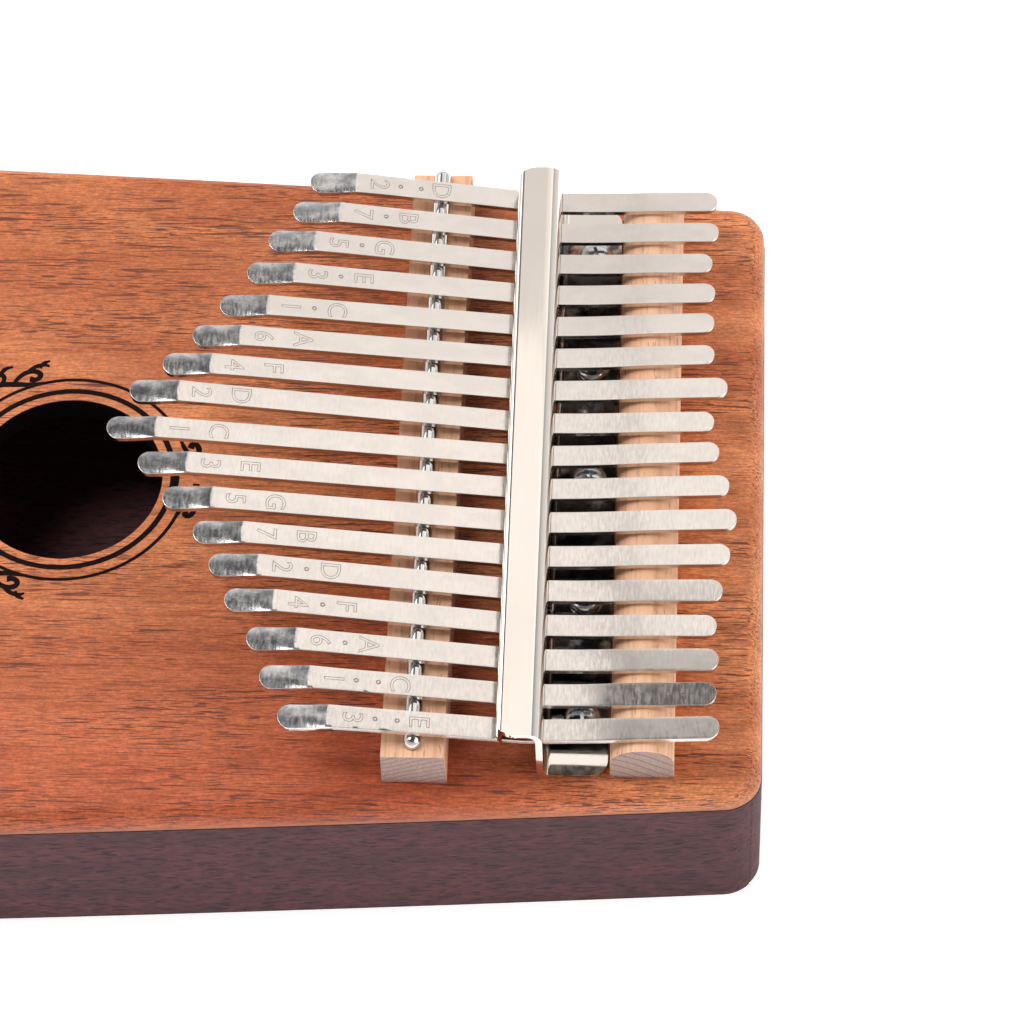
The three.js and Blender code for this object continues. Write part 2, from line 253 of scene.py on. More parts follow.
@dataclass(frozen=True)
class Mahogany(Finish):
    """Open-pored reddish soundboard wood with a satin finish, its fibres along X."""

    hole_centre: Vector
    hole_radius: float
    edge_low: float
    pale: Colour = (0.69, 0.250, 0.098)
    deep: Colour = (0.46, 0.125, 0.042)
    pore: Colour = (0.110, 0.026, 0.016)
    # Colour of the painted shade on the sound hole's wall.
    wall_shade: Colour = (0.008, 0.005, 0.005)
    near_side: tuple[float, float] = (-20 * MM, -66 * MM)
    key_end: tuple[float, float] = (80 * MM, 40 * MM)
    # Colour of the painted shade towards the near side.
    near_shade: Colour = (0.78, 0.53, 0.52)
    edge: Colour = (0.42, 0.18, 0.10)
    edge_rise: float = 1.4 * MM
    wall_shade_span: tuple[float, float] = (0.22 * MM, 0.08 * MM)

    def paint(self, s: Shader) -> None:
        """Sets up the soundboard's surface."""
        broad = s.noise((9, 45, 45), detail=4, distortion=0.6)
        streak = s.noise((45, 620, 620), detail=4, roughness=0.62, shift=(3, 7, 1))
        fibre = s.noise((330, 3000, 3000), detail=2, roughness=0.75, shift=(11, 2, 5))
        silk = s.noise((1500, 2100, 2100), detail=2, roughness=0.7, shift=(7, 7, 3))
        colour = s.mix(s.band(broad, 0.32, 0.68), self.pale, self.deep)
        darker = s.mix(s.band(streak, 0.46, 0.72), colour, (0.74, 0.56, 0.50), "MULTIPLY")
        colour = s.mix(0.7, colour, darker)
        tint = s.math("MULTIPLY", s.band(fibre, 0.28, 0.70, (0.72, 1.22)),
                      s.band(silk, 0.3, 0.7, (0.80, 1.16)))
        colour = s.mix(1.0, colour, s.grey(tint), "MULTIPLY")
        # Painted shade: darker and redder towards the near side, away from the key end.
        near = s.band(s.axis(s.coords, "Y"), *self.near_side)
        near = s.math("MULTIPLY", near, s.band(s.axis(s.coords, "X"), *self.key_end))
        colour = s.mix(near, colour, self.near_shade, "MULTIPLY")
        pores = self.pores(s)
        colour = s.mix(s.math("MULTIPLY", pores, 0.9), colour, self.pore)
        edge = s.band(s.axis(s.coords, "Z"), self.edge_low + self.edge_rise, self.edge_low)
        edge = s.math("MULTIPLY", edge, s.band(streak, 0.2, 0.6, (0.5, 0.95)))
        colour = s.mix(edge, colour, self.edge)
        # Painted shade on the sound hole's wall; its shine is lowered there too.
        wall_shaded = self.hole_wall_shade(s)
        colour = s.mix(wall_shaded, colour, self.wall_shade)
        s.set(Base_Color=colour, Roughness=s.band(broad, 0.2, 0.8, (0.40, 0.52)))
        s.set(Specular_IOR_Level=s.band(wall_shaded, 0.0, 1.0, (0.34, 0.02)))
        s.bump(s.math("SUBTRACT", s.math("MULTIPLY", fibre, 0.35), pores), 0.00012, 0.7)

    @staticmethod
    def pores(s: Shader) -> bpy.types.NodeSocket:
        """Short dark pores, gathered in drifts, and a few long ones."""
        short = s.noise((300, 4200, 4200), detail=0, shift=(5, 9, 4), distortion=0.5)
        drift = s.band(s.noise((22, 90, 90), detail=3, shift=(8, 3, 2)), 0.36, 0.62)
        medium = s.noise((120, 2900, 2900), detail=0, shift=(1, 4, 9), distortion=0.5)
        gathered = s.math("MULTIPLY", s.band(short, 0.63, 0.67), drift)
        sparse = s.math("MULTIPLY", s.band(medium, 0.68, 0.71), s.band(drift, 0.1, 0.5, (0.4, 1.0)))
        return s.math("MAXIMUM", gathered, sparse)

    def hole_wall_shade(self, s: Shader) -> bpy.types.NodeSocket:
        """Painted shade on the wall of the sound hole."""
        away = s.distance(tuple(-self.hole_centre), (1.0, 1.0, 0.0))
        unshaded, wall_shaded = self.wall_shade_span
        return s.band(away, self.hole_radius + unshaded, self.hole_radius + wall_shaded)


@dataclass(frozen=True)
class Walnut(Finish):
    """Matte purplish-brown case wood."""

    grain: Grain = Grain.ALONG
    warm: Colour = (0.112, 0.034, 0.036)
    cool: Colour = (0.074, 0.026, 0.031)

    def scale(self, along: float, across: float) -> Colour:
        """Cycles per metre along and across the fibres."""
        return (along, across, across) if self.grain is Grain.ALONG else (across, along, across)

    def paint(self, s: Shader) -> None:
        """Sets up the case wood's surface."""
        broad = s.noise(self.scale(30, 190), detail=5, roughness=0.6, distortion=0.8)
        fine = s.noise(self.scale(380, 1500), detail=3, roughness=0.7, shift=(4, 1, 8))
        fleck = s.noise(self.scale(330, 2000), detail=0, shift=(2, 6, 3))
        colour = s.mix(s.band(broad, 0.36, 0.64), self.cool, self.warm)
        colour = s.mix(s.band(fine, 0.40, 0.68), colour, (0.050, 0.022, 0.028))
        pores = s.band(fleck, 0.64, 0.69)
        colour = s.mix(s.math("MULTIPLY", pores, 0.7), colour, (0.022, 0.012, 0.014))
        s.set(Base_Color=colour, Roughness=s.band(fine, 0.2, 0.8, (0.52, 0.64)))
        s.set(Specular_IOR_Level=0.2)
        s.bump(s.math("SUBTRACT", s.math("MULTIPLY", fine, 0.4), pores), 0.00010, 0.7)


@dataclass(frozen=True)
class Maple(Finish):
    """Bare sanded bridge wood, its fibres along Y and its growth rings on the end faces."""

    flank: Colour = (0.90, 0.54, 0.35)
    shade: Colour = (0.76, 0.42, 0.25)
    end: Colour = (0.44, 0.305, 0.265)
    ring: Colour = (0.17, 0.125, 0.115)
    ring_pitch: float = 1.25 * MM
    ring_wander: float = 1.6 * MM
    pith: Colour = (-52.8 * MM, 0.0, 16.8 * MM)

    def paint(self, s: Shader) -> None:
        """Sets up the bridge wood's surface."""
        radius = s.distance(self.pith, (1.0, 0.0, 1.0))
        wander = s.math("MULTIPLY", s.noise((90, 8, 90), detail=2), self.ring_wander)
        spread = s.math("ADD", radius, wander)
        phase = s.math("FRACT", s.math("DIVIDE", spread, self.ring_pitch))
        rings = s.math("MULTIPLY", s.band(phase, 0.70, 0.92), s.band(phase, 1.0, 0.94))
        fibre = s.noise((1500, 45, 1500), detail=3)
        vessel = s.noise((2600, 260, 2600), detail=1, shift=(3, 5, 7))
        broad = s.noise((60, 14, 60), detail=3, shift=(6, 1, 2))
        side = s.mix(s.band(broad, 0.3, 0.7), self.flank, self.shade)
        side = s.mix(s.band(fibre, 0.45, 0.8, (0.0, 0.55)), side, (0.50, 0.27, 0.14))
        side = s.mix(s.math("MULTIPLY", rings, 0.30), side, (0.45, 0.24, 0.13))
        side = s.mix(s.band(vessel, 0.66, 0.74, (0.0, 0.75)), side, (0.33, 0.17, 0.09))
        dots = s.noise((2400, 2400, 2400), detail=2, shift=(9, 9, 1))
        end = s.mix(s.band(dots, 0.3, 0.7), self.end, (0.32, 0.235, 0.20))
        end = s.mix(s.math("MULTIPLY", rings, 0.85), end, self.ring)
        facing = s.band(s.math("ABSOLUTE", s.normal_axis("Y")), 0.55, 0.85)
        s.set(Base_Color=s.mix(facing, side, end), Roughness=s.band(fibre, 0.2, 0.8, (0.5, 0.62)))
        s.set(Specular_IOR_Level=0.35)
        s.bump(s.math("SUBTRACT", s.math("MULTIPLY", fibre, 0.4), vessel), 0.00008, 0.6)


@dataclass(frozen=True)
class Metal(Finish):
    """Plated or polished steel with fine working marks."""

    colour: Colour = (0.90, 0.89, 0.87)
    roughness: tuple[float, float] = (0.04, 0.10)
    mark_scale: Colour = (700.0, 700.0, 700.0)
    mark_depth: float = 0.000004
    wave_scale: Colour = (60.0, 60.0, 60.0)
    wave_depth: float = 0.00002

    def paint(self, s: Shader) -> None:
        """Sets up the metal's surface."""
        marks = s.noise(self.mark_scale, detail=3, roughness=0.6)
        waves = s.noise(self.wave_scale, detail=2, shift=(5, 3, 8))
        dull = tuple(0.93 * value for value in self.colour)
        colour = s.mix(s.band(waves, 0.3, 0.7), self.colour, dull)
        s.set(Base_Color=self.toned(s, colour), Metallic=1.0)
        s.set(Roughness=s.band(marks, 0.3, 0.7, self.roughness))
        height = s.math("ADD", s.math("MULTIPLY", marks, self.mark_depth / MM),
                        s.math("MULTIPLY", waves, self.wave_depth / MM))
        s.bump(self.worked(s, height), MM)

    def toned(self, s: Shader, colour: bpy.types.NodeSocket) -> bpy.types.NodeSocket:
        """The metal's colour with its local painted light and shade; plain metal has none."""
        return colour

    def worked(self, s: Shader, height: bpy.types.NodeSocket) -> bpy.types.NodeSocket:
        """The metal's relief after local working; plain metal has none."""
        return height


@dataclass(frozen=True)
class Plate(Metal):
    """Bright plating with painted shade, broken by painted glints, in its hidden trough between the web and
    the rear bridge.
    """

    trough_top: float = 38.0 * MM
    open_end: float = 59.0 * MM
    # Colour of the painted shade in the trough.
    trough_shade: Colour = (0.10, 0.095, 0.10)

    def toned(self, s: Shader, colour: bpy.types.NodeSocket) -> bpy.types.NodeSocket:
        """The plate's colour, with painted shade down in the trough, broken by lighter painted glints."""
        # Painted shade in the trough, where the plate mirrors the dark undersides; lighter painted glints
        # break it up.
        low = s.band(s.axis(s.coords, "Z"), self.trough_top + MM, self.trough_top - MM)
        inside = s.band(s.math("ABSOLUTE", s.axis(s.coords, "Y")), self.open_end, self.open_end - 1.5 * MM)
        glint_mottle = s.band(s.noise((160, 160, 160), detail=3), 0.52, 0.60, (1.0, 0.45))
        amount = s.math("MULTIPLY", s.math("MULTIPLY", low, inside), glint_mottle)
        return s.mix(amount, colour, self.trough_shade)


@dataclass(frozen=True)
class SpringSteel(Metal):
    """Satin plated tine steel, with hammered tips under a painted dark reflection, and finely brushed tails.
    """

    tip_scale: Colour = (260.0, 330.0, 260.0)
    tip_depth: float = 0.000022

    def toned(self, s: Shader, colour: bpy.types.NodeSocket) -> bpy.types.NodeSocket:
        """The tine's colour, with a painted dark reflection, grey and mottled, at its tip."""
        # Painted dark reflection: the level tip mirrors the dark part of the room.
        mottle = s.band(s.noise(self.tip_scale, detail=4, roughness=0.65, shift=(2, 8, 5)), 0.36, 0.64)
        grey = s.mix(mottle, (0.44, 0.44, 0.46), (0.86, 0.84, 0.82))
        return s.mix(s.painted("tip"), colour, grey)

    def worked(self, s: Shader, height: bpy.types.NodeSocket) -> bpy.types.NodeSocket:
        """The tine's relief, with shallow hammer marks at its tip."""
        dents = s.noise(self.tip_scale, detail=2, shift=(9, 4, 1))
        struck = s.math("MULTIPLY", s.math("MULTIPLY", dents, self.tip_depth / MM), s.painted("tip"))
        return s.math("ADD", height, struck)


@dataclass(frozen=True)
class Scorch(Finish):
    """Dark scorched line work on the soundboard."""

    colour: Colour = (0.009, 0.004, 0.004)

    def paint(self, s: Shader) -> None:
        """Sets up the line work's surface."""
        grain = s.noise((300, 2400, 2400), detail=3)
        s.set(Base_Color=s.mix(s.band(grain, 0.55, 0.8), self.colour, (0.035, 0.011, 0.008)))
        s.set(Roughness=s.band(grain, 0.2, 0.8, (0.6, 0.8)), Specular_IOR_Level=0.05)
        s.bump(grain, 0.00003, 0.6)


@dataclass(frozen=True)
class Paper(Finish):
    """Seamless white studio floor, lit from below."""

    colour: Colour = (0.93, 0.93, 0.935)
    glow: float = 0.55

    def paint(self, s: Shader) -> None:
        """Sets up the floor's surface."""
        s.set(Base_Color=self.colour, Roughness=0.9, Specular_IOR_Level=0.1)
        s.set(Emission_Color=self.colour, Emission_Strength=self.glow)


CHROME = Plate(
    colour=(0.755, 0.70, 0.645),
    roughness=(0.05, 0.10),
    mark_scale=(1500.0, 55.0, 1500.0),
    mark_depth=0.0000006,
    wave_scale=(45.0, 30.0, 45.0),
    wave_depth=0.000006,
)
ROD_STEEL = Metal(
    colour=(0.64, 0.63, 0.61),
    roughness=(0.03, 0.06),
    mark_scale=(900.0, 120.0, 900.0),
    mark_depth=0.0000004,
    wave_depth=0.000004,
)
ZINC = Metal(colour=(0.55, 0.57, 0.60), roughness=(0.12, 0.24), mark_depth=0.000001, wave_depth=0.000005)
SPRING_STEEL = SpringSteel(
    colour=(0.70, 0.652, 0.612),
    roughness=(0.13, 0.24),
    mark_scale=(2300.0, 520.0, 900.0),
    mark_depth=0.0000028,
    wave_scale=(150.0, 260.0, 120.0),
    wave_depth=0.000007,
)
STAMPED = Metal(colour=(0.30, 0.26, 0.24), roughness=(0.30, 0.45))


# ---------------------------------------------------------------- mesh helpers


def linked(name: str, data: bpy.types.ID) -> bpy.types.Object:
    """A new object in the scene, at the origin."""
    made = bpy.data.objects.new(name, data)
    bpy.context.scene.collection.objects.link(made)
    return made


def new_object(bm: bmesh.types.BMesh, name: str) -> bpy.types.Object:
    """Closes a bmesh into a linked object at the origin.

    Args:
        bm: The mesh in work, which is freed.
        name: The object's name.

    Returns:
        The object.
    """
    bmesh.ops.remove_doubles(bm, verts=bm.verts, dist=1e-7)
    bmesh.ops.recalc_face_normals(bm, faces=bm.faces)
    mesh = bpy.data.meshes.new(name)
    bm.to_mesh(mesh)
    bm.free()
    return linked(name, mesh)


def face_from(bm: bmesh.types.BMesh, corners: Iterable[Iterable[float]]) -> bmesh.types.BMFace:
    """A face through corners in order, in metres."""
    return bm.faces.new([bm.verts.new(Vector(corner)) for corner in corners])


def only(items: Iterable[object], kind: type) -> list:
    """The items of one kind."""
    return [item for item in items if isinstance(item, kind)]


def fan(total: float, steps: int) -> list[float]:
    """Angles from 0 to a total, in equal steps."""
    return [total * step / steps for step in range(steps + 1)]


def extrude(bm: bmesh.types.BMesh, faces: list[bmesh.types.BMFace], way: Vector) -> list[bmesh.types.BMFace]:
    """Extrudes faces into a closed body.

    Args:
        bm: The mesh in work.
        faces: The flat faces to extrude.
        way: Direction and depth.

    Returns:
        The faces at the far end.
    """
    out = bmesh.ops.extrude_face_region(bm, geom=faces, use_keep_orig=True)
    bmesh.ops.translate(bm, verts=only(out["geom"], bmesh.types.BMVert), vec=way)
    bmesh.ops.recalc_face_normals(bm, faces=bm.faces)
    return only(out["geom"], bmesh.types.BMFace)


def prism(name: str, corners: Iterable[Iterable[float]], way: Vector) -> bpy.types.Object:
    """A closed body made by extruding one flat face."""
    bm = bmesh.new()
    extrude(bm, [face_from(bm, corners)], way)
    return new_object(bm, name)


def bisect(
    bm: bmesh.types.BMesh, point: Iterable[float], normal: Iterable[float], clear: bool = False
) -> list[bmesh.types.BMEdge]:
    """Cuts a whole mesh along a plane.

    Args:
        bm: The mesh in work.
        point: A point on the plane.
        normal: The plane's normal.
        clear: Whether what lies on the normal's side is removed.

    Returns:
        The edges along the cut.
    """
    geom = bm.verts[:] + bm.edges[:] + bm.faces[:]
    out = bmesh.ops.bisect_plane(bm, geom=geom, plane_co=point, plane_no=normal, clear_outer=clear)
    return only(out["geom_cut"], bmesh.types.BMEdge)


def bevel(
    bm: bmesh.types.BMesh, geom: list, width: float, segments: int, corners: bool = False
) -> None:
    """Rounds edges, or flat corners where corners is true."""
    bmesh.ops.bevel(
        bm,
        geom=geom,
        offset=width,
        offset_type="OFFSET",
        segments=segments,
        profile=0.5,
        affect="VERTICES" if corners else "EDGES",
        clamp_overlap=True,
        material=-1,
    )


def evaluated(piece: bpy.types.Object) -> bpy.types.Mesh:
    """A new mesh of an object as it stands, with its modifiers applied."""
    bpy.context.view_layer.update()
    return bpy.data.meshes.new_from_object(piece.evaluated_get(bpy.context.evaluated_depsgraph_get()))


def apply_modifiers(piece: bpy.types.Object) -> None:
    """Makes a piece's modifiers part of its mesh."""
    mesh = evaluated(piece)
    piece.modifiers.clear()
    old = piece.data
    piece.data = mesh
    bpy.data.meshes.remove(old)
    mesh.name = piece.name


def as_mesh(drawn: bpy.types.Object) -> bpy.types.Object:
    """A mesh object in place of a curve or text object, under the same name."""
    mesh = evaluated(drawn)
    mesh.name = name = drawn.name
    bpy.data.objects.remove(drawn)
    return linked(name, mesh)


def join(pieces: list[bpy.types.Object], name: str) -> bpy.types.Object:
    """Joins mesh objects into one.

    Args:
        pieces: The objects, which are removed.
        name: The joined object's name.

    Returns:
        The joined object.
    """
    bm = bmesh.new()
    for piece in pieces:
        bm.from_mesh(piece.data)
        bpy.data.objects.remove(piece)
    return new_object(bm, name)


def carve(piece: bpy.types.Object, cutter: bpy.types.Object) -> None:
    """Cuts one closed body out of another and removes the cutter.

    Args:
        piece: The body that is cut.
        cutter: The body that is cut out of it.

    Raises:
        RuntimeError: If nothing is left of the piece, which a failed cut does without a word.
    """
    tool = piece.modifiers.new("carve", "BOOLEAN")
    tool.operation = "DIFFERENCE"
    tool.solver = "EXACT"
    tool.object = cutter
    apply_modifiers(piece)
    if not piece.data.polygons:
        raise RuntimeError(f"the cut by {cutter.name} left nothing of {piece.name}")
    bpy.data.objects.remove(cutter)


def round_edges(piece: bpy.types.Object, width: float, segments: int = 2, angle: float = 40.0) -> None:
    """Rounds every edge sharper than an angle in degrees."""
    tool = piece.modifiers.new("rounding", "BEVEL")
    tool.width = width
    tool.segments = segments
    tool.limit_method = "ANGLE"
    tool.angle_limit = math.radians(angle)
    apply_modifiers(piece)


def smooth(piece: bpy.types.Object, angle: float = 35.0) -> None:
    """Shades a piece smooth up to an angle in degrees, with broad faces kept flat."""
    piece.data.shade_smooth()
    piece.data.set_sharp_from_angle(angle=math.radians(angle))
    tool = piece.modifiers.new("flat_faces", "WEIGHTED_NORMAL")
    tool.keep_sharp = True
    tool.weight = 80
    apply_modifiers(piece)


def dress(piece: bpy.types.Object, material: bpy.types.Material) -> None:
    """Gives a piece its one material."""
    piece.data.materials.clear()
    piece.data.materials.append(material)


def settle(
    piece: bpy.types.Object,
    material: bpy.types.Material,
    replaces: Iterable[str] = (),
    body: str = CASE_BODY,
) -> bpy.types.Object:
    """Dresses a piece, fixes it to its body and logs it.

    Args:
        piece: The finished piece.
        material: Its material.
        replaces: The frame's nodes that it stands for.
        body: The body it rides on.

    Returns:
        The piece.
    """
    dress(piece, material)
    for node in replaces:
        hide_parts(node)
    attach(piece, body)
    log.info("%s: %d faces on %s", piece.name, len(piece.data.polygons), body)
    return piece


def spin_profile(
    bm: bmesh.types.BMesh, points: Iterable[tuple[float, float]], centre: Vector, axis: Vector, steps: int
) -> None:
    """Turns a profile of (radius, height) about an axis into a closed body.

    Args:
        bm: The mesh in work.
        points: The profile, from one end of the axis to the other.
        centre: Where height 0 is.
        axis: The axis, of length 1.
        steps: How many steps the full turn has.
    """
    side = axis.orthogonal().normalized()
    verts = [bm.verts.new(centre + side * radius + axis * height) for radius, height in points]
    edges = [bm.edges.new(pair) for pair in zip(verts, verts[1:])]
    bmesh.ops.spin(
        bm, geom=verts + edges, cent=centre, axis=axis, angle=2 * math.pi, steps=steps, use_merge=True
    )
    bmesh.ops.remove_doubles(bm, verts=bm.verts, dist=1e-6)


# ---------------------------------------------------------------- case


@dataclass
class Case:
    """The tapered box: soundboard, side frame, back and the hidden anchor block."""

    middle_half_width: float = 71.3 * MM
    taper: float = 5.1 * MM
    bow: float = 0.6 * MM
    corner_radius: float = 6.6 * MM
    wall: float = 8.0 * MM
    inner_radius: float = 0.5 * MM
    top_setback: float = 0.15 * MM
    roundover: float = 3.3 * MM
    mitre_gap: float = 0.015 * MM
    hole_radius: float = 17.8 * MM
    hole_lip: float = 0.3 * MM
    hole_x: float = -37.3 * MM
    board_edge: float = 0.35 * MM

    def __post_init__(self) -> None:
        """Reads the case's length and heights from the frame."""
        _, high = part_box("end_board_keys")
        _, top_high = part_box("top_board")
        self.half_length = high.x
        self.frame_top = high.z
        self.top = top_high.z
        self.hole_centre = Vector((self.hole_x, 0.0, top_high.z))

    def half_width(self, side: float, inset: float) -> float:
        """Half the case's width, from its key end (1) to its hole end (-1)."""
        return self.middle_half_width - side * self.taper - inset

    def side_at(self, x: float, inset: float) -> float:
        """Half the case's width at x, with the sides' slight bow."""
        share = x / self.half_length
        return self.half_width(share, inset) + self.bow * (1 - share * share)

    def outline(self, bm: bmesh.types.BMesh, z: float, inset: float = 0.0) -> bmesh.types.BMFace:
        """Draws the case's plan as one face.

        Args:
            bm: The mesh in work.
            z: The face's height.
            inset: How far the face stays inside the case's outline.

        Returns:
            The face.
        """
        steps = 10
        stations = [(self.half_length - inset) * (2 * step / steps - 1) for step in range(steps + 1)]
        near = [(x, -self.side_at(x, inset), z) for x in stations]
        far = [(x, self.side_at(x, inset), z) for x in reversed(stations)]
        plan = face_from(bm, near + far)
        corners = [vert for vert in plan.verts if abs(vert.co.x) > self.half_length - inset - self.bow]
        bevel(bm, corners, max(self.corner_radius - inset, self.inner_radius), 14, corners=True)
        return bm.faces[:][0]

    def chamber(self) -> bpy.types.Object:
        """The hollow between the side frame's boards, as a body to carve with.

        Returns:
            The cutter.
        """
        bm = bmesh.new()
        plan = self.outline(bm, -self.wall, self.wall)
        extrude(bm, [plan], Vector((0, 0, self.frame_top + 2 * self.wall)))
        return new_object(bm, "chamber_cutter")

    def soundboard(self) -> bpy.types.Object:
        """Makes the soundboard with its rounded rim and its hole.

        Returns:
            The soundboard.
        """
        bm = bmesh.new()
        plan = self.outline(bm, self.frame_top, self.top_setback)
        upper = extrude(bm, [plan], Vector((0, 0, self.top - self.frame_top)))
        rim = [edge for face in upper for edge in face.edges]
        bevel(bm, rim, self.roundover, 10)
        board = new_object(bm, "soundboard")
        carve(board, self.hole_cutter())
        smooth(board)
        return board

    def hole_cutter(self) -> bpy.types.Object:
        """A plug the shape of the sound hole, flared at its rim.

        Returns:
            The cutter.
        """
        depth = self.top - self.frame_top
        radius, lip = self.hole_radius, self.hole_lip
        flare = [(radius + lip * (1 - math.cos(t)), lip * (math.sin(t) - 1)) for t in fan(math.pi / 2, 5)]
        profile = [(0, -2 * depth), (radius, -2 * depth), *flare, (radius + lip, depth), (0, depth)]
        bm = bmesh.new()
        spin_profile(bm, profile, self.hole_centre, Vector((0, 0, 1)), 128)
        return new_object(bm, "hole_cutter")

    def board(self, name: str, planes: list[tuple[Vector, Vector]]) -> bpy.types.Object:
        """Makes one board of the side frame.

        Args:
            name: The board's name.
            planes: Points and normals of the mitres; what lies outside is cut off.

        Returns:
            The board.
        """
        bm = bmesh.new()
        plan = self.outline(bm, 0.0)
        extrude(bm, [plan], Vector((0, 0, self.frame_top)))
        ring = new_object(bm, name + "_ring")
        carve(ring, self.chamber())
        bm = bmesh.new()
        bm.from_mesh(ring.data)
        bpy.data.objects.remove(ring)
        for point, normal in planes:
            bmesh.ops.edgenet_fill(bm, edges=bisect(bm, point, normal, clear=True))
        piece = new_object(bm, name)
        round_edges(piece, self.board_edge, 2, 60)
        smooth(piece)
        return piece

    def mitres(self, side: int, way: int, keep_end: bool) -> tuple[Vector, Vector]:
        """A mitre plane at one corner.

        Args:
            side: 1 at the key end, -1 at the hole end.
            way: 1 on the far side, -1 on the near side.
            keep_end: Whether the end board is the one kept.

        Returns:
            A point on the plane and its normal, pointing at what is cut off.
        """
        normal = Vector((-side, way, 0)).normalized()
        normal = normal if keep_end else -normal
        corner = Vector((side * self.half_length, way * self.half_width(side, 0.0), 0))
        return corner - normal * self.mitre_gap, normal

    def build(self) -> None:
        """Makes and settles every piece of the case."""
        lengthwise = Walnut().build("walnut_lengthwise")
        crosswise = Walnut(grain=Grain.ACROSS).build("walnut_crosswise")
        mahogany = Mahogany(self.hole_centre, self.hole_radius, self.frame_top).build("mahogany")
        settle(self.soundboard(), mahogany, ["top_board"])
        for name, side in (("keys", 1), ("hole", -1)):
            planes = [self.mitres(side, way, True) for way in (1, -1)]
            piece = self.board(f"end_{name}", planes)
            settle(piece, crosswise, [f"end_board_{name}"])
        for name, way in (("far", 1), ("near", -1)):
            planes = [self.mitres(side, way, False) for side in (1, -1)]
            piece = self.board(f"side_{name}", planes)
            settle(piece, lengthwise, [f"side_board_{name}"])
        dress(frame["nodes"]["back_board"], lengthwise)
        dress(frame["nodes"]["anchor_block"], Maple().build("block_wood"))


# ---------------------------------------------------------------- rosette


class Motif(Enum):
    """The scrolls that stand round the hole: their angle in degrees and their size."""

    KEYS = (0.0, "small")
    FAR = (135.0, "large")
    NEAR = (225.0, "large")
    END = (180.0, "small")


# Strokes of one half of a scroll: along the ring and out from it in millimetres, and line weight.
SCROLLS = {
    "large": (
        ((0.3, 4.4, 0.6), (2.2, 4.6, 1.1), (4.4, 3.7, 1.4), (6.6, 2.1, 1.5), (8.8, 0.7, 1.2),
         (11.6, 0.0, 0.9)),
        ((6.2, 2.4, 0.9), (7.4, 3.5, 1.1), (9.1, 4.3, 1.3), (10.8, 3.7, 1.4), (11.2, 2.4, 1.3),
         (10.2, 1.6, 1.3), (9.2, 2.2, 1.7)),
        ((9.4, 4.4, 1.0), (10.8, 5.3, 1.1), (12.2, 5.3, 1.0), (13.0, 4.6, 0.6)),
        ((11.4, 4.6, 0.7), (12.2, 5.8, 1.1), (13.2, 6.2, 0.5)),
        ((4.2, 3.8, 0.9), (5.4, 5.0, 1.1), (5.2, 6.4, 1.3), (3.8, 7.1, 1.4), (2.4, 6.5, 1.3),
         (3.0, 5.7, 1.7)),
        ((5.2, 6.6, 1.1), (6.3, 7.4, 1.1), (7.5, 7.2, 0.6)),
        ((0.0, 5.2, 1.3), (0.0, 7.0, 1.7), (0.0, 8.4, 0.5)),
        ((3.0, 1.9, 1.0), (1.7, 1.3, 1.3), (0.6, 2.1, 1.2), (1.4, 2.9, 1.6)),
    ),
    "small": (
        ((8.2, 0.0, 1.0), (6.8, 0.3, 1.1), (5.6, 1.2, 1.2), (5.5, 2.7, 1.3), (6.8, 3.3, 1.3), (7.7, 2.3, 1.3),
         (6.9, 1.5, 1.6)),
        ((5.5, 1.2, 0.9), (4.4, 0.9, 1.1), (3.8, 0.0, 0.6)),
        ((0.8, 2.2, 1.5), (1.2, 2.2, 1.5)),
        ((2.4, 1.6, 0.6), (3.4, 2.6, 1.1), (4.6, 2.9, 0.6)),
    ),
}


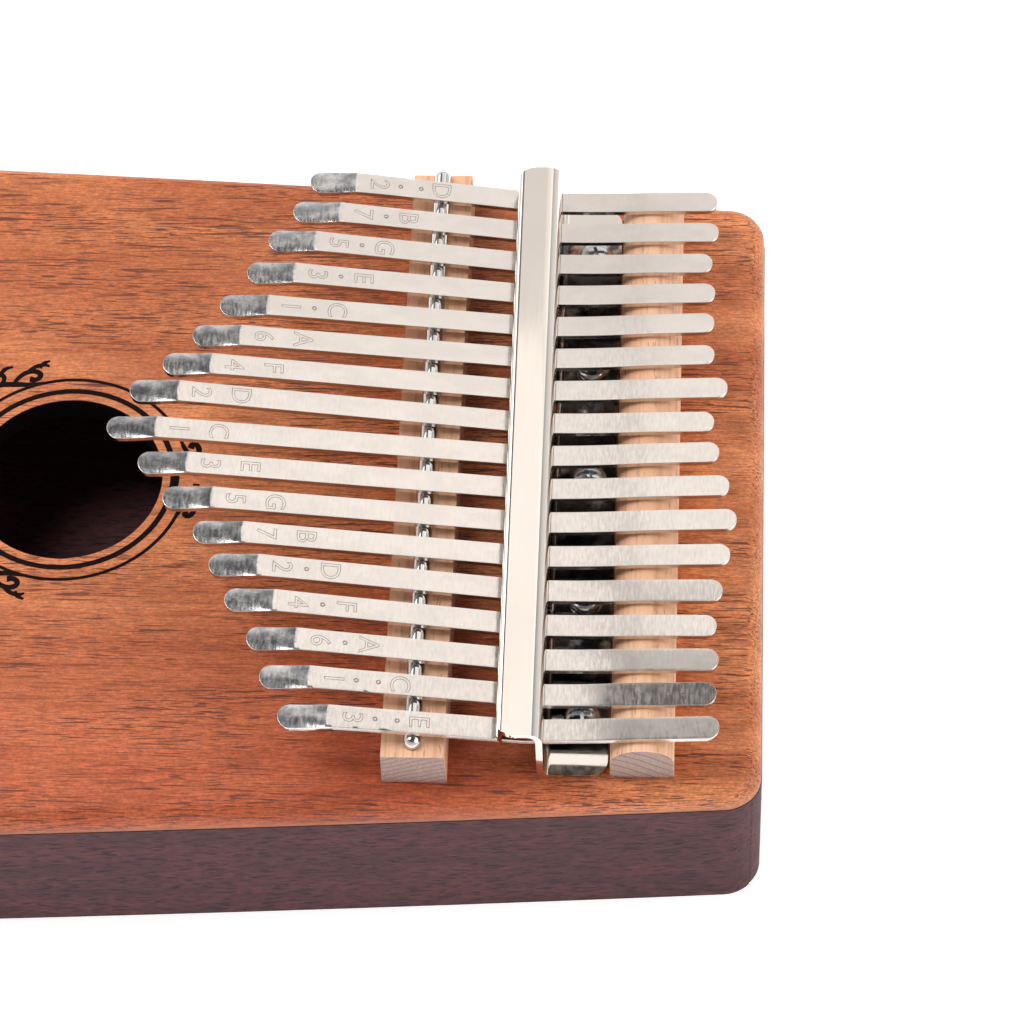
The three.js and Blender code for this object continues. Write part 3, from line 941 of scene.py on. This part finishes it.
@dataclass
class Rosette:
    """Dark line work round the sound hole: a ring, outer arcs, blocks and plain scrolls."""

    centre: Vector
    hole_radius: float
    ring_share: float = 1.12
    ring_width: float = 1.05 * MM
    arc_share: float = 1.27
    arc_width: float = 0.66 * MM
    arc_gap: float = 19.0
    block_angles: tuple[float, ...] = (0.0, 180.0)
    line_width: float = 0.84 * MM
    rise: float = 0.80
    height: float = 0.03 * MM
    step_angle: float = 2.25
    block_reach: float = 11.0
    block_swell: float = 0.75 * MM

    def band(self, bm: bmesh.types.BMesh, share: float, width: float, start: float, end: float) -> None:
        """Adds a flat band round the hole between two angles in degrees."""
        radius = self.hole_radius * share
        verts = [bm.verts.new((radius + side * width / 2, 0, 0)) for side in (-1, 1)]
        bmesh.ops.rotate(bm, verts=verts, matrix=Matrix.Rotation(math.radians(start), 3, "Z"))
        line = bm.edges.new(verts)
        bmesh.ops.spin(bm, geom=[*verts, line], axis=(0, 0, 1), angle=math.radians(end - start),
                       steps=round(abs(end - start) / self.step_angle), use_merge=end - start >= 360)

    def block(self, bm: bmesh.types.BMesh, angle: float) -> None:
        """Adds a thickening outside the main ring, centred on an angle in degrees."""
        radius = self.hole_radius * self.ring_share + 0.4 * self.ring_width
        steps, reach = 16, math.radians(self.block_reach)
        shares = [step / steps for step in range(steps + 1)]
        turns = [math.radians(angle) + reach * (2 * share - 1) for share in shares]
        outer = [radius + self.block_swell * math.sin(math.pi * share) ** 0.6 for share in shares]
        points = [(r * math.cos(t), r * math.sin(t), 0) for r, t in zip(outer, turns)]
        inner = [(radius * math.cos(t), radius * math.sin(t), 0) for t in reversed(turns)]
        face_from(bm, points[1:-1] + inner)

    def stroke(self, points: list[tuple[float, float, float]], name: str) -> bpy.types.Object:
        """A drawn line whose width follows its points.

        Args:
            points: X, Y and a share of the full line width, in metres about the hole's centre.
            name: The stroke's name.

        Returns:
            The stroke, lying on the soundboard.
        """
        curve = bpy.data.curves.new(name, "CURVE")
        curve.dimensions = "3D"
        curve.bevel_depth = self.line_width / 2
        curve.bevel_resolution = 2
        curve.use_fill_caps = True
        curve.resolution_u = 3
        line = curve.splines.new("BEZIER")
        line.bezier_points.add(len(points) - 1)
        for knot, (x, y, share) in zip(line.bezier_points, points):
            knot.co = (x, y, 0)
            knot.radius = share
            knot.handle_left_type = knot.handle_right_type = "AUTO"
        return as_mesh(linked(name, curve))

    def scroll(self, motif: Motif, hand: int) -> list[bpy.types.Object]:
        """Draws one half of a scroll, wrapped round the outer arc.

        Args:
            motif: Which scroll.
            hand: 1 or -1 for the two mirrored halves.

        Returns:
            Its strokes.
        """
        angle, size = motif.value
        radius = self.hole_radius * self.arc_share
        strokes = []
        for number, line in enumerate(SCROLLS[size]):
            points = []
            for along, out, weight in line:
                turn = math.radians(angle) + hand * along * MM / radius
                reach = radius + self.rise * out * MM
                points.append((reach * math.cos(turn), reach * math.sin(turn), weight))
            strokes.append(self.stroke(points, f"stroke_{motif.name}_{hand}_{number}"))
        return strokes

    def build(self) -> None:
        """Makes and settles the line work."""
        material = Scorch().build("scorched_line")
        bm = bmesh.new()
        self.band(bm, self.ring_share, self.ring_width, 0, 360)
        for start, end in ((self.arc_gap, 180 - self.arc_gap), (180 + self.arc_gap, 360 - self.arc_gap)):
            self.band(bm, self.arc_share, self.arc_width, start, end)
        for angle in self.block_angles:
            self.block(bm, angle)
        extrude(bm, bm.faces[:], Vector((0, 0, self.height)))
        bmesh.ops.translate(bm, verts=bm.verts, vec=self.centre)
        settle(new_object(bm, "rosette_rings"), material)
        strokes = [line for motif in Motif for hand in (1, -1) for line in self.scroll(motif, hand)]
        piece = join(strokes, "rosette_scrolls")
        flat = Matrix.Diagonal((1, 1, 2 * self.height / self.line_width, 1))
        piece.data.transform(Matrix.Translation(self.centre) @ flat)
        smooth(piece)
        settle(piece, material)


# ---------------------------------------------------------------- bridges


@dataclass
class Bridges:
    """The two wooden bridges and the steel rod that lies in the front one's groove."""

    rod_radius: float = 1.65 * MM
    rear_shoulder: float = 4.9 * MM
    edge: float = 0.25 * MM
    groove_play: float = 0.04 * MM
    rear_short: float = 1.2 * MM
    front_lean: tuple[float, float] = (0.15 * MM, 0.25 * MM)

    def __post_init__(self) -> None:
        """Reads the rod's axis from the frame."""
        low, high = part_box("bridge_rod")
        self.rod_low, self.rod_high = low, high
        self.rod_axis = (low + high) / 2

    def rod_body(self, name: str, radius: float) -> bpy.types.Object:
        """A round bar with domed ends on the rod's axis.

        Args:
            name: The bar's name.
            radius: Its radius.

        Returns:
            The bar.
        """
        half = (self.rod_high.y - self.rod_low.y) / 2 - self.rod_radius + radius
        cap = [(radius * math.sin(t), radius * (1 - math.cos(t))) for t in fan(math.pi / 2, 12)]
        profile = [(r, -half + inset) for r, inset in cap] + [(r, half - inset) for r, inset in reversed(cap)]
        bm = bmesh.new()
        spin_profile(bm, profile, self.rod_axis, Vector((0, 1, 0)), 48)
        return new_object(bm, name)

    def front(self) -> bpy.types.Object:
        """The grooved front bridge."""
        low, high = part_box("front_bridge")
        left, right = self.front_lean
        side = [(low.x, low.y, low.z), (high.x, low.y, low.z),
                (high.x - right, low.y, high.z), (low.x + left, low.y, high.z)]
        piece = prism("bridge_front", side, Vector((0, high.y - low.y, 0)))
        carve(piece, self.rod_body("groove", self.rod_radius + self.groove_play))
        round_edges(piece, self.edge)
        smooth(piece)
        return piece

    def rear(self) -> bpy.types.Object:
        """The rear bridge with its half-round top."""
        low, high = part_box("rear_bridge")
        high.y -= self.rear_short
        middle, half = (low.x + high.x) / 2, (high.x - low.x) / 2
        shoulder = low.z + self.rear_shoulder
        arch = [(middle + half * math.cos(t), low.y, shoulder + (high.z - shoulder) * math.sin(t))
                for t in fan(math.pi, 28)]
        side = [(low.x, low.y, low.z), (high.x, low.y, low.z), *arch]
        piece = prism("bridge_rear", side, Vector((0, high.y - low.y, 0)))
        round_edges(piece, self.edge)
        smooth(piece)
        return piece

    def build(self) -> None:
        """Makes and settles the bridges and the rod."""
        settle(self.front(), Maple().build("maple_front"), ["front_bridge"])
        rear_wood = Maple(pith=(-46.1 * MM, 0.0, 4.5 * MM), ring_pitch=1.7 * MM)
        settle(self.rear(), rear_wood.build("maple_rear"), ["rear_bridge"])
        rod = self.rod_body("rod", self.rod_radius)
        smooth(rod)
        settle(rod, ROD_STEEL.build("rod_steel"), ["bridge_rod"])


# ---------------------------------------------------------------- bracket


@dataclass
class Bracket:
    """The stamped pressure bracket: crowned bar, slotted web and screwed flange."""

    sheet: float = 1.2 * MM
    web_x: float = 53.0 * MM
    crown: float = 0.02 * MM
    lip_foot: float = 10.0 * MM
    # At 0.36 mm the cut of the bar's corners leaves nothing of the sheet.
    lip_fold: float = 0.62 * MM
    crease: float = 1.4 * MM
    web_fold: float = 2.1 * MM
    foot_fold: float = 1.9 * MM
    flange_corner: float = 3.2 * MM
    bar_corner: tuple[float, float] = (4.0 * MM, 2.8 * MM)
    slot_width: float = 5.5 * MM
    slot_span: tuple[float, float] = (7.8 * MM, 10.2 * MM)
    slot_corner: float = 0.7 * MM
    edge: float = 0.14 * MM
    crossing_x: float = 54.0 * MM

    def __post_init__(self) -> None:
        """Reads the bracket's box from the frame."""
        self.low, self.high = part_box("bracket")

    def sheet_body(self) -> bpy.types.Object:
        """Folds the flat strip into its Z and gives it its thickness.

        Returns:
            The folded sheet, before its slots are punched.
        """
        half = self.sheet / 2
        bar_z = self.high.z - half
        lip_x = self.low.x + half
        foot_z = self.low.z + half
        middle = (lip_x + self.web_x) / 2
        path = [(lip_x, self.low.z + self.lip_foot), (lip_x, bar_z - self.crown), (middle, bar_z),
                (self.web_x, bar_z - self.crown), (self.web_x, foot_z), (self.high.x, foot_z)]
        bm = bmesh.new()
        verts = [bm.verts.new((x, self.low.y, z)) for x, z in path]
        edges = [bm.edges.new(pair) for pair in zip(verts, verts[1:])]
        out = bmesh.ops.extrude_edge_only(bm, edges=edges)
        moved = only(out["geom"], bmesh.types.BMVert)
        bmesh.ops.translate(bm, verts=moved, vec=(0, self.high.y - self.low.y, 0))
        ends = [vert for vert in bm.verts if vert.co.x > self.high.x - MM]
        bevel(bm, ends, self.flange_corner, 10, corners=True)
        folds = ((1, self.lip_fold), (2, self.crease), (3, self.web_fold), (4, self.foot_fold))
        for index, radius in folds:
            x, z = path[index]
            fold = [edge for edge in bm.edges if len(edge.link_faces) == 2
                    and all(math.hypot(v.co.x - x, v.co.z - z) < 0.01 * MM for v in edge.verts)]
            bevel(bm, fold, radius, 9)
        piece = new_object(bm, "pressure_bracket")
        tool = piece.modifiers.new("sheet", "SOLIDIFY")
        tool.thickness = self.sheet
        tool.offset = 0.0
        tool.use_even_offset = True
        apply_modifiers(piece)
        return piece

    def slot_cutters(self, places: list[float]) -> bpy.types.Object:
        """Rounded punches for the web's slots, one at each Y."""
        bm = bmesh.new()
        low, high = self.slot_span
        reach = 1.6 * self.sheet
        for y in places:
            left, right = y - self.slot_width / 2, y + self.slot_width / 2
            x = self.web_x - reach
            punch = face_from(bm, [(x, left, self.low.z + low), (x, right, self.low.z + low),
                                   (x, right, self.low.z + high), (x, left, self.low.z + high)])
            bevel(bm, list(punch.verts), self.slot_corner, 4, corners=True)
        extrude(bm, bm.faces[:], Vector((2 * reach, 0, 0)))
        return new_object(bm, "slot_punches")

    def corner_cutters(self) -> bpy.types.Object:
        """Cutters that round the bar's two left corners in plan."""
        bm = bmesh.new()
        (along, across), spare, below, tall = self.bar_corner, 1.0 * MM, 5 * MM, 15 * MM
        x, z = self.low.x, self.low.z + below
        for way, y in ((1, self.high.y), (-1, self.low.y)):
            arc = [(x + along * (1 - math.cos(t)), y - way * across * (1 - math.sin(t)), z)
                   for t in fan(math.pi / 2, 12)]
            outside = [(x + along, y + way * spare, z), (x - spare, y + way * spare, z),
                       (x - spare, y - way * across, z)]
            face_from(bm, arc + outside)
        extrude(bm, bm.faces[:], Vector((0, 0, tall)))
        return new_object(bm, "corner_cutters")

    def build(self, places: list[float]) -> None:
        """Makes and settles the bracket.

        Args:
            places: The tines' Y places.
        """
        piece = self.sheet_body()
        carve(piece, self.slot_cutters(places))
        carve(piece, self.corner_cutters())
        round_edges(piece, self.edge, 2, 50)
        smooth(piece)
        settle(piece, CHROME.build("bright_plate"), ["bracket"])


class Turn(Enum):
    """The way each screw's cross ended up when it was driven, in degrees."""

    FIRST = 12
    SECOND = 55
    THIRD = 31
    FOURTH = 74
    FIFTH = 3


@dataclass
class Screws:
    """Pan-head cross-recessed wood screws in the bracket's flange."""

    shank_radius: float = 1.5 * MM
    head_height: float = 2.1 * MM
    cross_reach: float = 1.5 * MM
    cross_width: float = 0.62 * MM
    cross_depth: float = 1.1 * MM
    head_rim: float = 0.55 * MM
    tip: tuple[float, float] = (0.5 * MM, 3 * MM)

    def one(self, node: str, turn: Turn) -> bpy.types.Object:
        """Makes one screw where its node stands.

        Args:
            node: The frame's node.
            turn: The way its cross is turned.

        Returns:
            The screw.
        """
        low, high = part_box(node)
        foot = Vector(((low.x + high.x) / 2, (low.y + high.y) / 2, low.z))
        radius = (high.x - low.x) / 2
        tall = high.z - low.z
        seat = tall - self.head_height
        rim, dome = seat + self.head_rim, self.head_height - self.head_rim
        rise = [(radius * math.cos(t), rim + dome * math.sin(t)) for t in fan(math.pi / 2, 9)[:-1]]
        profile = [(0, 0), (0.35 * self.shank_radius, self.tip[0]), (self.shank_radius, self.tip[1]),
                   (self.shank_radius, seat), (radius, seat), *rise, (0, tall)]
        bm = bmesh.new()
        spin_profile(bm, profile, foot, Vector((0, 0, 1)), 40)
        piece = new_object(bm, node + "_driven")
        for quarter in (0, 1):
            cutter = bmesh.new()
            size = Vector((2 * self.cross_reach, self.cross_width, 2 * self.cross_depth))
            out = bmesh.ops.create_cube(cutter, size=1.0)
            spin = Matrix.Rotation(math.radians(turn.value + 90 * quarter), 4, "Z")
            place = Matrix.Translation(Vector((foot.x, foot.y, high.z)))
            bmesh.ops.transform(cutter, matrix=place @ spin @ Matrix.Diagonal((*size, 1)), verts=out["verts"])
            carve(piece, new_object(cutter, "cross_cutter"))
        smooth(piece)
        return piece

    def build(self) -> None:
        """Makes and settles every screw."""
        zinc = ZINC.build("zinc_plate")
        for number, turn in enumerate(Turn, start=1):
            node = f"bracket_screw_{number}"
            settle(self.one(node, turn), zinc, [node])


# ---------------------------------------------------------------- tines


@dataclass(frozen=True)
class Note:
    """A tine's stamped mark: a scale number, octave dots and a note letter."""

    number: str
    dots: int
    letter: str


NOTES = (
    Note("2", 2, "D"), Note("7", 1, "B"), Note("5", 1, "G"), Note("3", 1, "E"), Note("1", 1, "C"),
    Note("6", 0, "A"), Note("4", 0, "F"), Note("2", 0, "D"), Note("1", 0, "C"), Note("3", 0, "E"),
    Note("5", 0, "G"), Note("7", 0, "B"), Note("2", 1, "D"), Note("4", 1, "F"), Note("6", 1, "A"),
    Note("1", 2, "C"), Note("3", 2, "E"),
)

# How far some tails are turned about their length, in degrees, by the tine's number.
TAIL_TWISTS = {2: -0.2, 5: 0.2, 8: 0.25, 13: 3.5, 14: 1.4, 15: 3.3, 16: 5.2, 17: 2.7}


@dataclass
class Tine:
    """One flat spring-steel tine, which bends at the rod when it is plucked."""

    number: int
    note: Note
    rod_x: float
    width: float = 4.5 * MM
    tip_width: float = 5.0 * MM
    thickness: float = 1.0 * MM
    slope: float = 0.13
    tail_slope: float = 0.045
    low_x: float = 50.0 * MM
    flat_tip: float = 9.0 * MM
    tip_crown: float = 0.34 * MM
    sag: float = 0.3 * MM
    edge: float = 0.13 * MM
    mark_size: float = 5.1 * MM
    mark_line: float = 0.06 * MM
    mark_start: float = 13.3 * MM
    mark_pitches: tuple[float, float, float] = (7.2 * MM, 8.6 * MM, 11.7 * MM)
    dot_share: float = 0.34
    bend_soft: float = 0.45 * MM
    tail_run: float = 21.0 * MM
    twist_start: float = 59.0 * MM
    twist_run: float = 8.0 * MM
    hinge_span: tuple[float, float] = (10 * MM, -2 * MM)
    end_inset: float = 2 * MM
    twist: float = 0.0

    def __post_init__(self) -> None:
        """Reads the tine's ends, line and height from the frame's two nodes."""
        self.key_node = f"tine_{self.number:02d}_key"
        self.tail_node = f"tine_{self.number:02d}_tail"
        key_low, key_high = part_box(self.key_node)
        tail_low, tail_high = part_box(self.tail_node)
        self.tip, self.end = key_low.x, tail_high.x
        self.tip_y = self.centre_y(self.key_node, self.tip + self.end_inset)
        self.end_y = self.centre_y(self.tail_node, self.end - self.end_inset)
        self.low_z = tail_low.z

    @staticmethod
    def centre_y(node: str, x: float) -> float:
        """The middle of a node's width nearest to a place along X."""
        verts = [vert.co for vert in frame["nodes"][node].data.vertices]
        near = min(abs(co.x - x) for co in verts) + 0.4 * MM
        across = [co.y for co in verts if abs(co.x - x) < near]
        return (min(across) + max(across)) / 2

    def line_y(self, x: float) -> float:
        """The tine's centre line at x."""
        share = (x - self.tip - self.end_inset) / (self.end - self.tip - 2 * self.end_inset)
        return self.tip_y + (self.end_y - self.tip_y) * share

    def height(self, x: float) -> float:
        """The underside's height at x."""
        if x > self.low_x:
            over = min(1.0, (x - self.low_x) / self.tail_run)
            return self.low_z + self.tail_slope * (x - self.low_x) - self.sag * math.sin(math.pi * over) * 0.8
        bend = self.tip + self.flat_tip
        soft, run = self.bend_soft, x - bend
        eased = run if run > soft else (0.0 if run < -soft else (run + soft) ** 2 / (4 * soft))
        return self.low_z + self.slope * (self.low_x - bend - eased)

    def body(self) -> bpy.types.Object:
        """Makes the tine in one piece.

        Returns:
            The tine.
        """
        half = self.width / 2
        bm = bmesh.new()
        plan = face_from(bm, [(self.tip, -half, 0), (self.end, -half, 0),
                              (self.end, half, 0), (self.tip, half, 0)])
        bevel(bm, list(plan.verts), 0.97 * half, 9, corners=True)
        bend = self.tip + self.flat_tip
        stations = [self.tip + half * 1.4 + step * 1.1 * MM for step in range(6)]
        stations += [bend + step * 0.28 * MM for step in range(-3, 4)]
        stations += [bend - 1.8 * MM, bend + 5 * MM, bend + 10 * MM]
        stations += [self.rod_x + step * 1.5 * MM for step in range(-7, 10)]
        stations += [self.low_x + step * 1.5 * MM for step in range(-1, 20)]
        for x in sorted(set(stations)):
            if self.tip + half * 1.2 < x < self.end - half * 1.2:
                bisect(bm, (x, 0, 0), (1, 0, 0))
        for share in (-0.75, -0.5, -0.25, 0.0, 0.25, 0.5, 0.75):
            bisect(bm, (0, share * half, 0), (0, 1, 0))
        extrude(bm, bm.faces[:], Vector((0, 0, self.thickness)))
        rim = [edge for edge in bm.edges if len(edge.link_faces) == 2
               and edge.calc_face_angle() > math.radians(60)]
        bevel(bm, rim, self.edge, 3)
        # The tip attribute marks the level tip, where the steel paints a dark reflection.
        painted = bm.verts.layers.float.new("tip")
        for vert in bm.verts:
            x, y, z = vert.co
            vert[painted] = min(1.0, max(0.0, (bend - x) / (0.6 * MM) + 0.5))
            z -= self.tip_crown * (y / half) ** 2 * min(1.0, max(0.0, (bend - x) / (4 * MM)))
            turned = math.radians(self.twist) * min(1.0, max(0.0, (x - self.twist_start) / self.twist_run))
            z += y * turned
            flare = (self.tip_width / self.width - 1) * max(0.0, 1 - (x - self.tip) / (1.6 * self.flat_tip))
            vert.co = (x, self.line_y(x) + y * (1 + flare), self.height(x) + z)
        piece = new_object(bm, f"tine_{self.number:02d}")
        smooth(piece, 50)
        return piece

    def glyph(self, text: str, x: float, size: float) -> bpy.types.Object:
        """One stamped outline on the tine's face.

        Args:
            text: The character.
            x: Where its middle lies along the tine.
            size: Its type size.

        Returns:
            The outline as a mesh.
        """
        name = f"glyph_{self.number}_{round(x / MM * 100)}"
        curve = bpy.data.curves.new(name, "FONT")
        curve.body = text
        curve.size = size
        curve.align_x = "CENTER"
        curve.align_y = "CENTER"
        curve.fill_mode = "NONE"
        curve.bevel_depth = self.mark_line
        curve.bevel_resolution = 1
        curve.resolution_u = 3
        made = as_mesh(linked(name, curve))
        spread = Matrix.Diagonal((1.0, 1.0, 0.7, 1.0))
        lows = [min(vert.co[axis] for vert in made.data.vertices) for axis in (0, 1)]
        highs = [max(vert.co[axis] for vert in made.data.vertices) for axis in (0, 1)]
        middle = Vector(((lows[0] + highs[0]) / 2, (lows[1] + highs[1]) / 2, 0.0))
        turn = Matrix.Rotation(-math.pi / 2, 4, "Z")
        made.data.transform(Matrix.Translation((x, 0, 0)) @ turn @ spread @ Matrix.Translation(-middle))
        return made

    def mark(self) -> bpy.types.Object:
        """The tine's whole stamped mark.

        Returns:
            The mark, lying on the tine's upper face.
        """
        note = self.note
        first = self.tip + self.mark_start
        pitch = self.mark_pitches[note.dots]
        glyphs = [self.glyph(note.number, first, self.mark_size)]
        for dot in range(note.dots):
            x = first + pitch * (dot + 1) / (note.dots + 1)
            glyphs.append(self.glyph("o", x, self.dot_share * self.mark_size))
        glyphs.append(self.glyph(note.letter, first + pitch, self.mark_size))
        piece = join(glyphs, f"tine_{self.number:02d}_mark")
        for vert in piece.data.vertices:
            x, y, z = vert.co
            vert.co = (x, y + self.line_y(x), z + self.height(x) + self.thickness)
        return piece

    def build(self, steel: bpy.types.Material, stamp: bpy.types.Material) -> None:
        """Makes the tine and its mark.

        Args:
            steel: The tine's material.
            stamp: The mark's material.
        """
        for piece, material in ((self.body(), steel), (self.mark(), stamp)):
            dress(piece, material)
            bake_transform(piece)
            log.info("%s: %d faces, bending at the rod", piece.name, len(piece.data.polygons))
        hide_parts(self.key_node, self.tail_node)


# ---------------------------------------------------------------- studio


@dataclass(frozen=True)
class Softbox:
    """A rectangular studio light that faces back along its own direction."""

    name: str
    way: Colour
    distance: float
    size: tuple[float, float]
    glow: float
    tint: Colour = (1.0, 1.0, 1.0)
    shift: tuple[float, float] = (0.0, 0.0)

    def build(self, target: Vector) -> None:
        """Hangs the light over the target, shifted along X and backwards in its own plane."""
        light = bpy.data.lights.new(self.name, "AREA")
        light.shape = "RECTANGLE"
        light.size, light.size_y = self.size
        light.energy = 4.0 * self.glow * self.size[0] * self.size[1]
        light.color = self.tint
        away = Vector(self.way).normalized()
        across = Vector((1, 0, 0))
        across = (across - away * away.dot(across)).normalized()
        down = away.cross(across)
        rotation = Matrix((across, -down, away)).transposed().to_4x4()
        hung = linked(self.name, light)
        place = target + away * self.distance + across * self.shift[0] + down * self.shift[1]
        hung.matrix_world = Matrix.Translation(place) @ rotation
        hung.visible_camera = False


@dataclass(frozen=True)
class Studio:
    """Camera, white floor and soft light."""

    focal_length: float = 163.43
    sensor: float = 36.0
    azimuth: float = 4.2675
    elevation: float = 55.634
    roll: float = -2.7496
    distance: float = 859.15 * MM
    aim: Colour = (46.0 * MM, -6.25 * MM, 35.0 * MM)

    def camera(self) -> None:
        """Sets up the camera over the near side, looking down at the keys."""
        turn, rise, roll = (math.radians(a) for a in (self.azimuth, self.elevation, self.roll))
        back = Vector((math.sin(turn) * math.cos(rise), -math.cos(turn) * math.cos(rise), math.sin(rise)))
        level = Vector((0, 0, 1)).cross(back).normalized()
        upright = back.cross(level)
        right = level * math.cos(roll) + upright * math.sin(roll)
        up = upright * math.cos(roll) - level * math.sin(roll)
        data = bpy.data.cameras.new("camera")
        data.lens = self.focal_length
        data.sensor_width = self.sensor
        data.clip_start = 0.05
        made = linked("camera", data)
        rotation = Matrix((right, up, back)).transposed().to_4x4()
        made.matrix_world = Matrix.Translation(Vector(self.aim) + back * self.distance) @ rotation
        bpy.context.scene.camera = made

    def floor(self) -> None:
        """Lays the seamless white floor under the case."""
        bm = bmesh.new()
        bmesh.ops.create_grid(bm, x_segments=1, y_segments=1, size=3.0)
        sheet = new_object(bm, "floor")
        sheet.data.materials.append(Paper().build("white_paper"))

    def sky(self) -> None:
        """Surrounds the set with a pale room that darkens overhead."""
        world = bpy.data.worlds.new("room")
        bpy.context.scene.world = world
        world.use_nodes = True
        tree = world.node_tree
        back = tree.nodes["Background"]
        coords = tree.nodes.new("ShaderNodeTexCoord")
        split = tree.nodes.new("ShaderNodeSeparateXYZ")
        tree.links.new(coords.outputs["Generated"], split.inputs[0])
        ramp = tree.nodes.new("ShaderNodeValToRGB")
        tree.links.new(split.outputs["Z"], ramp.inputs[0])
        stops = ((0.0, 1.0), (0.35, 0.90), (0.58, 0.58), (0.72, 0.30), (0.80, 0.12), (1.0, 0.10))
        ramp.color_ramp.elements.remove(ramp.color_ramp.elements[1])
        for index, (place, grey) in enumerate(stops):
            stop = ramp.color_ramp.elements[0] if index == 0 else ramp.color_ramp.elements.new(place)
            stop.position = place
            stop.color = (grey, 0.985 * grey, 0.97 * grey, 1.0)
        tree.links.new(ramp.outputs[0], back.inputs["Color"])
        back.inputs["Strength"].default_value = 1.0

    def build(self) -> None:
        """Sets up everything round the instrument."""
        self.camera()
        self.floor()
        self.sky()
        target = Vector(self.aim)
        warm = (1.0, 0.955, 0.92)
        overhead = (0.0, 0.563, 0.826)
        for light in (
            Softbox("reflector", overhead, 0.55, (0.40, 0.44), 0.66, warm, (0.122, 0.10)),
            Softbox("reflector_near", overhead, 0.54, (0.40, 0.16), 0.33, warm, (0.122, -0.042)),
            Softbox("reflector_right", overhead, 0.53, (0.31, 0.28), 0.10, warm, (0.167, 0.18)),
            Softbox("main_light", (-0.45, 0.08, 0.89), 1.5, (0.6, 0.6), 7.0),
            Softbox("side_light", (-0.72, 0.35, 0.60), 1.4, (1.0, 1.0), 1.8),
            Softbox("right_light", (0.80, -0.25, 0.55), 1.5, (0.9, 0.9), 2.8),
        ):
            light.build(target)
        view = bpy.context.scene.view_settings
        view.view_transform = "Standard"
        view.look = "None"


def main() -> None:
    """Builds the studio and the instrument."""
    logging.basicConfig(level=logging.INFO, format="%(name)s: %(message)s")
    Studio().build()
    case = Case()
    case.build()
    Rosette(case.hole_centre, case.hole_radius).build()
    bridges = Bridges()
    bridges.build()
    tines = [
        Tine(number, note, bridges.rod_axis.x, twist=TAIL_TWISTS.get(number, 0.0))
        for number, note in enumerate(NOTES, start=1)
    ]
    bracket = Bracket()
    bracket.build([tine.line_y(bracket.crossing_x) for tine in tines])
    Screws().build()
    steel, stamp = SPRING_STEEL.build("spring_steel"), STAMPED.build("stamped_line")
    for tine in tines:
        tine.build(steel, stamp)


if __name__ == "__main__":
    main()
